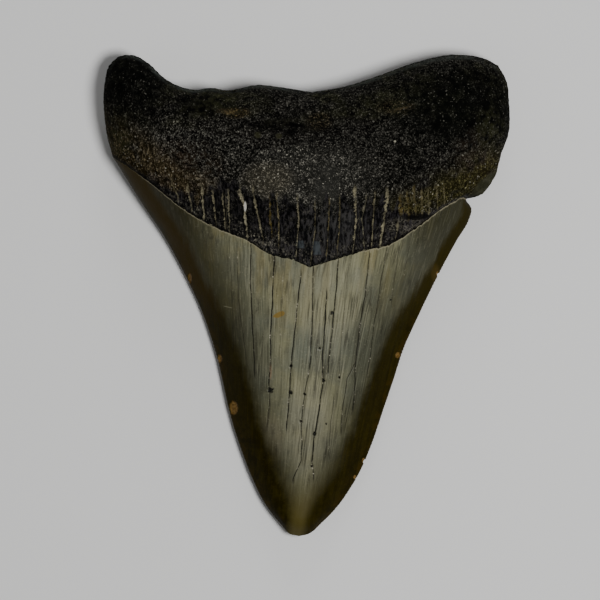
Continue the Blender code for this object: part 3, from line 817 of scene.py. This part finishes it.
# Painted glints: a few grains made near white, most on the lit bulge and the gold.
spark_distance, spark = rubble.grains(0.50, (1, 1, 1), (4, 4, 4))
painted_glints = spark.rise(0.88, 0.94) * spark_distance.rise(0.42, 0.20)
painted_glints = painted_glints * (0.15 + bulge_grains_and_light * 0.5 + gold * 0.35)
bone = painted_glints.mix(bone, (0.58, 0.55, 0.45))
bone = (fold * 0.50).mix(bone, (0.082, 0.060, 0.030))
bone = (grain.rise(-0.15, -0.60) * 0.25).mix(bone, (0.0004, 0.0004, 0.0003))
# Painted highlight: a thin grey-green line along the rim, where the low light beyond the root
# catches it.
rim = stored_mask("rim")
rim_highlight = (rim / (1.2 + (x - 10).rise(0, 20) * 0.6)).rise(1.0, 0.3) * z.rise(8, 11)
rim_highlight = rim_highlight * patchy.rise(0.32, 0.58) * dust.rise(0.32, 0.55)
bone = (rim_highlight * 0.8).mix(bone, (0.050, 0.058, 0.050))
# The right shoulder of the root is rubbed paler in a patch that lies aslant.
WORN_AT = (44, 27)
worn_x, worn_y = x - WORN_AT[0], y - WORN_AT[1]
worn_along = worn_x * 0.64 + worn_y * 0.77
worn_across = worn_x * 0.77 - worn_y * 0.64
worn = (worn_along / 6.5) ** 2 + ((worn_across - 1.2) / 3.0) ** 2 + (mottle - 0.5) * 0.9
rubbed = mottle.rise(0.4, 0.6).mix((0.026, 0.026, 0.014), (0.048, 0.048, 0.029))
bone = (worn.rise(1.1, 0.6) * 0.85).mix(bone, rubbed)
knobs = spot(-12.1, 39.6, 1.1, 1.0) + spot(-6.9, 39.3, 1.0, 0.9)
bone = (knobs * 0.6).mix(bone, (0.034, 0.034, 0.016))
bone = (spot(21.7, 38.0, 0.38, 0.34) * 0.8).mix(bone, (0.36, 0.34, 0.26))
bone = (spot(23.6, 36.0, 2.4, 1.4) * 0.85).mix(bone, (0.0020, 0.0020, 0.0016))

# Band: black dentine streaked grey, with crumbs of pale mineral, most of them low down, and a few
# blue-grey facets at the bottom of the V.
facet = place.noise(0.9, 3, 0.65, (1.4, 0.28, 1))
dentine = facet.rise(0.44, 0.68).mix((0.0010, 0.0009, 0.0012), (0.0300, 0.0272, 0.0275))
crumbs = above.rise(7.0, 0.5) * (0.65 + spot(-9, 13, 9, 5)) + mottle.rise(0.48, 0.60) * 0.6
dentine = (spot(-19, 20, 12, 8, 1.0) * 0.6).mix(dentine, (0.0009, 0.0008, 0.0009))
dentine = (cobbles * crumbs * 0.65).mix(dentine, (0.185, 0.172, 0.132))
greyed = spot(7, 17, 10, 8, 1.0) * facet.rise(0.38, 0.58)
dentine = (greyed * 0.6).mix(dentine, (0.040, 0.039, 0.037))
cut_x = x + (dust - 0.5) * 0.5 + (y - 12) * 0.12
cut_y = y + (mottle - 0.5) * 0.9
left_cut = start.math("MAXIMUM", abs(cut_x + 1.6) / 1.05, abs(cut_y - 12.7) / 0.95)
right_cut = start.math("MAXIMUM", abs(cut_x - 2.4) / 0.95, abs(cut_y - 11.8) / 1.75)
blue = left_cut.rise(1.05, 0.85) + right_cut.rise(1.05, 0.85)
dentine = (blue * facet.rise(0.26, 0.60) * 0.85).mix(dentine, (0.050, 0.058, 0.062))
ashes = spot(25.0, 17.4, 7.5, 2.6, 1.0) * dust.rise(0.46, 0.56) * mottle.rise(0.36, 0.56)
dentine = (ashes * 0.75).mix(dentine, (0.125, 0.115, 0.088))

# Veins: pale and ochre mineral in the cracks that run up from the enamel into the root. They are
# uneven and wider towards the root, with painted shadow beside them as dark grooves.
tangle = place.noise(1.1, 3, 0.65, (1, 0.6, 1), (5, 5, 1))
vein_gap = abs(stored_mask("vein_side") + (dust - 0.5) * 0.45 + (tangle - 0.5) * 0.5)
vein_width = stored_mask("vein_width") * (0.16 + tangle.rise(0.36, 0.68) * 0.80)
vein_width = vein_width * (0.60 + stored_mask("climb") * 0.55)
veined = stored_mask("vein")
vein = (vein_gap / vein_width).rise(1.0, 0.35) * veined
vein = vein * (patchy.rise(0.25, 0.60) * 0.75 + 0.25)
# Painted shadow: a dark line on both sides of each vein, as in a groove.
groove_shadow = vein_gap.rise(0.85, 0.45) * veined
dentine = (groove_shadow * 0.75).mix(dentine, (0.0012, 0.0011, 0.0010))
filling = stored_mask("ochre").mix((0.240, 0.220, 0.145), (0.135, 0.098, 0.018))
filling = (dust.rise(0.52, 0.66) * 0.6).mix(filling, (0.36, 0.33, 0.22))
filling = (tangle.rise(0.54, 0.42) * 0.5).mix(filling, (0.050, 0.042, 0.018))
filling = (dust.rise(0.46, 0.36) * 0.7).mix(filling, (0.022, 0.018, 0.008))
bright = spot(-15.2, 22.0, 0.42, 1.5) * 0.9

# The enamel ends in a small uneven step: a pale lip on the flanks, painted shadow as a dark line
# above it, and a dark slot on the right where a flake is gone.
unevenness = place.noise(1.1, 2, 0.6, (1, 0.2, 1), (6, 6, 6)) - 0.5
jog = above + unevenness * 1.3 * above.rise(3.0, 0.0)
beside = abs(x - 1).rise(9, 15) * abs(x - 1).rise(46, 38)
lip = jog.rise(-0.50, -0.12) * inner * (0.10 + beside * 0.75)
enamel = (lip * (0.4 + dust)).mix(enamel, (0.260, 0.235, 0.155))
rooted = vein.mix(band.mix(bone, dentine), filling)
rooted = bright.mix(rooted, (0.60, 0.58, 0.50))
slot_x = x - 27.6
slot = (slot_x / 5.2) ** 2 + ((y - 19.5 + (mottle - 0.5) * 2.2 - slot_x * 0.06) / 0.95) ** 2
rooted = (slot.rise(1.0, 0.2) * above.rise(0.3, 0.8) * 0.9).mix(rooted, (0.0008, 0.0008, 0.0006))
# Painted shadow: a dark line just above the enamel step.
rooted = (jog.rise(1.0, 0.25) * inner * 0.75).mix(rooted, (0.003, 0.003, 0.0025))
colour = jog.rise(-0.05, 0.05).mix(enamel, rooted)

crown = 1 - jog.rise(-0.05, 0.05)
rough_enamel = 0.42 + hair * 0.12 + mottle * 0.10 + crack * 0.3
rough_root = band * (0.46 + facet * 0.25 + vein * 0.25) + (1 - band) * (0.78 + dust * 0.2)
roughness = crown * rough_enamel + (1 - crown) * rough_root
relief = crown * ((hair - 0.5) * 0.04 + (streak - 0.5) * 0.03 + (dust - 0.5) * 0.02 - crack * 0.05)
relief = relief + (1 - crown) * (1 - band) * (cobbles * 0.20 + (dust - 0.5) * 0.10)
relief = relief + (1 - crown) * band * ((facet - 0.5) * 0.14 + (dust - 0.5) * 0.05 + vein * 0.10)
bump = start.node("ShaderNodeBump", {}, {"Height": relief * MM, "Distance": 1.0, "Strength": 1.0})
coat = crown * field * 0.12 + (1 - crown) * band * 0.04
sockets = {"Base Color": colour, "Roughness": roughness, "Normal": bump, "Coat Weight": coat}
for name, value in sockets.items():
    finish.node_tree.links.new(value.socket, shader.inputs[name])
shader.inputs["Specular IOR Level"].default_value = 0.03
shader.inputs["Coat Roughness"].default_value = 0.25

# The fine relief of the spongy root: small grains all over it, with open pores between them. It
# fades out over the band, and the flat that rests on the table stays flat.
BONE_SIZES = {
    "Grain Size": 0.95 * MM,
    "Grain Height": 0.20 * MM,
    "Pore Spacing": 1.7 * MM,
    "Pore Depth": 0.28 * MM,
}
BAND_SMOOTHING = 0.9
PORE_RADIUS = (0.12, 0.34)
SHARP_FROM = np.radians(55)
weathering = bpy.data.node_groups.new("weathered_bone", "GeometryNodeTree")
weathering.interface.new_socket("Geometry", in_out="INPUT", socket_type="NodeSocketGeometry")
for name in BONE_SIZES:
    weathering.interface.new_socket(name, in_out="INPUT", socket_type="NodeSocketFloat")
weathering.interface.new_socket("Geometry", in_out="OUTPUT", socket_type="NodeSocketGeometry")
given = {
    socket.name: Wire(weathering, socket)
    for socket in weathering.nodes.new("NodeGroupInput").outputs
    if socket.name
}
tree = Wire(weathering, None)


def bone_mask(name):
    return tree.node("GeometryNodeInputNamedAttribute", {"data_type": "FLOAT"}, {"Name": name})


here = tree.node("GeometryNodeInputPosition", {}, {})
bare = bone_mask("root") - bone_mask("band") * BAND_SMOOTHING
per_grain = tree.math("DIVIDE", 1.0, given["Grain Size"])
lump = tree.node("ShaderNodeTexNoise", {}, {"Vector": here, "Scale": per_grain, "Detail": 1.0})
lump = (lump - 0.5) * 2.0
per_pore = tree.math("DIVIDE", 1.0, given["Pore Spacing"])
pore = tree.node("ShaderNodeTexVoronoi", {"feature": "F1"}, {"Vector": here, "Scale": per_pore})
pore = pore.rise(*PORE_RADIUS) - 1.0
lift = (lump * given["Grain Height"] + pore * given["Pore Depth"]) * bare
normal = tree.node("GeometryNodeInputNormal", {}, {})
offset = tree.node("ShaderNodeVectorMath", {"operation": "SCALE"}, {0: normal, "Scale": lift})
shape = tree.node(
    "GeometryNodeStoreNamedAttribute",
    {"data_type": "FLOAT", "domain": "POINT"},
    {"Geometry": given["Geometry"], "Name": "grain", "Value": lump + pore},
)
shape = tree.node("GeometryNodeSetPosition", {}, {"Geometry": shape, "Offset": offset})
moved = tree.node("GeometryNodeInputPosition", {}, {})
parts = [tree.node("ShaderNodeSeparateXYZ", {}, {0: moved}, out=axis) for axis in range(3)]
parts[2] = tree.math("MAXIMUM", parts[2], 0.0)
kept = tree.node("ShaderNodeCombineXYZ", {}, dict(enumerate(parts)))
shape = tree.node("GeometryNodeSetPosition", {}, {"Geometry": shape, "Position": kept})
shape = tree.node("GeometryNodeRealizeInstances", {}, {"Geometry": shape})
shape = tree.node("GeometryNodeSetMaterial", {}, {"Geometry": shape, "Material": finish})
weathering.links.new(shape.socket, weathering.nodes.new("NodeGroupOutput").inputs[0])

modifier = tooth.modifiers.new("weathered_bone", "NODES")
modifier.node_group = weathering
for item in weathering.interface.items_tree:
    if item.in_out == "INPUT" and item.name in BONE_SIZES:
        modifier[item.identifier] = BONE_SIZES[item.name]
weathered = tooth.evaluated_get(bpy.context.evaluated_depsgraph_get())
surface = bpy.data.meshes.new_from_object(weathered)
tooth.modifiers.remove(modifier)
tooth.data = surface
surface.shade_smooth()
surface.set_sharp_from_angle(angle=SHARP_FROM)
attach(tooth, "root")
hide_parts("tooth")

# The table: a plain sheet of pale matt paper, laid flat under the tooth. It reaches far past what
# the camera sees.
TABLE_HALF = 8.0
table_mesh = bpy.data.meshes.new("table")
sheet = bmesh.new()
bmesh.ops.create_grid(sheet, x_segments=1, y_segments=1, size=TABLE_HALF)
bmesh.ops.translate(sheet, verts=sheet.verts, vec=(0, 0, cad_box[0].z))
sheet.to_mesh(table_mesh)
sheet.free()
table = bpy.data.objects.new("table", table_mesh)
bpy.context.scene.collection.objects.link(table)
paper = bpy.data.materials.new("table_paper")
paper.use_nodes = True
paper_shader = paper.node_tree.nodes["Principled BSDF"]
paper_shader.inputs["Base Color"].default_value = (0.80, 0.80, 0.79, 1.0)
paper_shader.inputs["Roughness"].default_value = 0.9
table_mesh.materials.append(paper)

# The lights: a soft one nearly overhead, a weak one from the left, and a low one beyond the root
# that picks out its rim.
LIGHTS = [
    ("overhead_light", (0.24, -0.05, 0.72), 0.24, 5.0),
    ("left_light", (-0.80, -0.20, 0.55), 0.60, 0.4),
    ("rim_light", (0.05, 0.90, 0.30), 0.40, 1.8),
]
for name, spot_at, size, power in LIGHTS:
    light = bpy.data.lights.new(name, "AREA")
    light.shape = "DISK"
    light.size = size
    light.energy = power
    lamp = bpy.data.objects.new(name, light)
    lamp.location = spot_at
    lamp.rotation_euler = (-Vector(spot_at)).to_track_quat("-Z", "Y").to_euler()
    bpy.context.scene.collection.objects.link(lamp)
world = bpy.data.worlds.new("studio")
world.use_nodes = True
world.node_tree.nodes["Background"].inputs["Color"].default_value = (1.0, 1.0, 1.0, 1.0)
world.node_tree.nodes["Background"].inputs["Strength"].default_value = 0.13
bpy.context.scene.world = world

# The camera looks straight down, as the photograph does. A pixel is a quarter of a millimetre.
PHOTO_PIXELS = 600
PIXEL_SIZE = 0.25 * MM
LENS = 300
SENSOR = 36
LOOK_AT = (-1.67 * MM, -1.05 * MM, 5.0 * MM)
camera_data = bpy.data.cameras.new("camera")
camera_data.lens = LENS
camera_data.sensor_width = SENSOR
camera = bpy.data.objects.new("camera", camera_data)
camera_height = PHOTO_PIXELS * PIXEL_SIZE * LENS / SENSOR
camera.location = (LOOK_AT[0], LOOK_AT[1], LOOK_AT[2] + camera_height)
bpy.context.scene.collection.objects.link(camera)
bpy.context.scene.camera = camera
